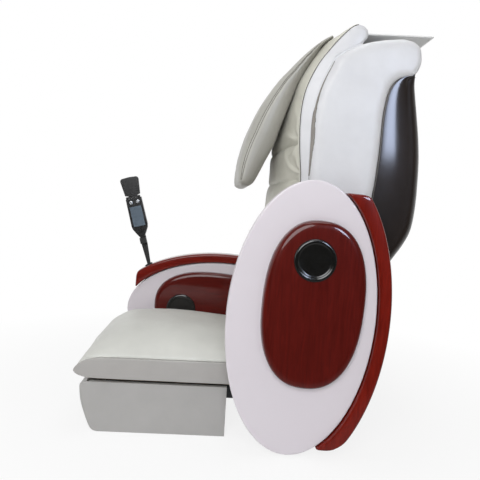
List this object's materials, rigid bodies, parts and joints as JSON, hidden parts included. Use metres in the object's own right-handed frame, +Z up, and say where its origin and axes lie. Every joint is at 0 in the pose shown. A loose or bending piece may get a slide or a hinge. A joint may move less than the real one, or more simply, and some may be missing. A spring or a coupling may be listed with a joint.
{
  "type": "pedicure spa chair",
  "caption": "Upper chair of a pedicure spa: swing-up oval arms with pods and rims, reclining massage back, flip-over head cushion and flip-top handset.",
  "frame": {"origin": "on the deck, at the middle of the chair's overall width and depth", "axes": "+Z up, -Y the way the sitter faces, +X the sitter's left"},
  "size_m": [0.707, 0.9125, 1.1083],
  "materials": {
    "ivory_panel": "satin",
    "cherry_rim": "gloss lacquer",
    "cherry_pod": "gloss lacquer",
    "black_disc": "gloss",
    "core_board": "matte",
    "bush_steel": "brushed",
    "chrome_rod": "polished",
    "frame_steel": "satin powder coat",
    "motor_case": "matte",
    "nylon": "matte",
    "rubber_glide": "matte",
    "base_laminate": "satin laminate",
    "plywood": "raw",
    "seat_vinyl": "soft grain",
    "side_vinyl": "soft grain",
    "pad_vinyl": "wrinkled soft grain",
    "head_vinyl": "wrinkled soft grain",
    "shell_black": "leather-grain moulded",
    "holder_black": "satin",
    "handset_black": "satin",
    "button_silver": "satin",
    "keypad_grey": "matte"
  },
  "bodies": {
    "chassis": {"base_sides": "base_laminate", "base_front_panel": "base_laminate", "base_rear_panel": "base_laminate", "mounting_board": "plywood", "side_rails": "frame_steel", "frame_legs": "frame_steel", "cross_tubes": "frame_steel", "actuator_ears": "frame_steel", "hinge_plates": "frame_steel", "rear_glides": "rubber_glide", "power_unit": "motor_case", "arm_brackets": "frame_steel", "arm_shafts": "bush_steel", "arm_spacers": "nylon", "shaft_nuts": "bush_steel", "recline_pins": "bush_steel", "actuator_front_pin": "bush_steel", "actuator_tube": "motor_case", "seat_board": "plywood", "seat_cushion": "seat_vinyl"},
    "back": {"back_side_plates": "frame_steel", "recline_tube": "frame_steel", "lever_pin": "bush_steel", "back_shell": "shell_black", "bolster_left": "side_vinyl", "bolster_right": "side_vinyl", "top_bolster": "side_vinyl", "back_pad": "pad_vinyl", "anchor_flap": "head_vinyl", "guide_rods": "chrome_rod", "rod_blocks": "frame_steel"},
    "lead_screw": {"lead_screw": "chrome_rod"},
    "carriage": {"carriage_plate": "frame_steel", "carriage_motor": "motor_case"},
    "rollers": {"roller_axle": "chrome_rod", "massage_rollers": "nylon"},
    "head_cushion": {"head_cushion": "head_vinyl"},
    "actuator_rod": {"actuator_rod": "chrome_rod"},
    "arm_left": {"arm_left_outer_panel": "ivory_panel", "arm_left_inner_panel": "ivory_panel", "arm_left_core": "core_board", "arm_left_rim": "cherry_rim", "arm_left_outer_pod": "cherry_pod", "arm_left_inner_pod": "cherry_pod", "arm_left_discs": "black_disc", "arm_left_hub": "bush_steel"},
    "arm_right": {"arm_right_outer_panel": "ivory_panel", "arm_right_inner_panel": "ivory_panel", "arm_right_core": "core_board", "arm_right_rim": "cherry_rim", "arm_right_outer_pod": "cherry_pod", "arm_right_inner_pod": "cherry_pod", "arm_right_discs": "black_disc", "arm_right_hub": "bush_steel", "handset_holder": "holder_black"},
    "handset": {"handset_body": "handset_black", "keypad": "keypad_grey"},
    "handset_lid": {"handset_lid": "handset_black"},
    "power_button": {"power_button": "button_silver"},
    "auto_button": {"auto_button": "button_silver"}
  },
  "joints": [
    {"name": "recline", "type": "hinge", "parent": "chassis", "child": "back", "pos_m": [0, 0.1, 0.215], "axis": [-1, 0, 0], "range_deg": [0, 35]},
    {"name": "actuator_stroke", "type": "slide", "parent": "chassis", "child": "actuator_rod", "axis": [0, 1, 0], "range_m": [-0.071, 0]},
    {"name": "head_fold", "type": "hinge", "parent": "back", "child": "head_cushion", "pos_m": [0, 0.184, 1.08], "axis": [-1, 0, 0], "range_deg": [0, 130]},
    {"name": "carriage_travel", "type": "slide", "parent": "back", "child": "carriage", "axis": [0, 0, 1], "range_m": [0, 0.33]},
    {"name": "screw_spin", "type": "hinge", "parent": "back", "child": "lead_screw", "pos_m": [0, 0.184, 0.6], "axis": [0, 0, 1], "range_deg": [0, 2971]},
    {"name": "roller_spin", "type": "hinge", "parent": "carriage", "child": "rollers", "pos_m": [0, 0.152, 0.497], "axis": [1, 0, 0], "continuous": true},
    {"name": "arm_left_swing", "type": "hinge", "parent": "chassis", "child": "arm_left", "pos_m": [0.305, 0.09, 0.194], "axis": [1, 0, 0], "range_deg": [0, 89]},
    {"name": "arm_right_swing", "type": "hinge", "parent": "chassis", "child": "arm_right", "pos_m": [-0.305, 0.09, 0.194], "axis": [-1, 0, 0], "range_deg": [0, 89]},
    {"name": "handset_lift", "type": "slide", "parent": "arm_right", "child": "handset", "axis": [0, -0.2672, 0.9636], "range_m": [0, 0.06]},
    {"name": "lid_flip", "type": "hinge", "parent": "handset", "child": "handset_lid", "pos_m": [-0.2944, -0.40835, 0.62336], "axis": [0, 0.9636, 0.2672], "range_deg": [0, 180]},
    {"name": "power_press", "type": "slide", "parent": "handset", "child": "power_button", "axis": [-1, 0, 0], "range_m": [0, 0.0012], "stiffness_N_per_m": 400},
    {"name": "auto_press", "type": "slide", "parent": "handset", "child": "auto_button", "axis": [-1, 0, 0], "range_m": [0, 0.0012], "stiffness_N_per_m": 400}
  ],
  "couplings": [
    {"joint": "actuator_stroke", "follows": "recline", "m_per_rad": -0.11519},
    {"joint": "screw_spin", "follows": "carriage_travel", "rad_per_m": 157.08}
  ]
}
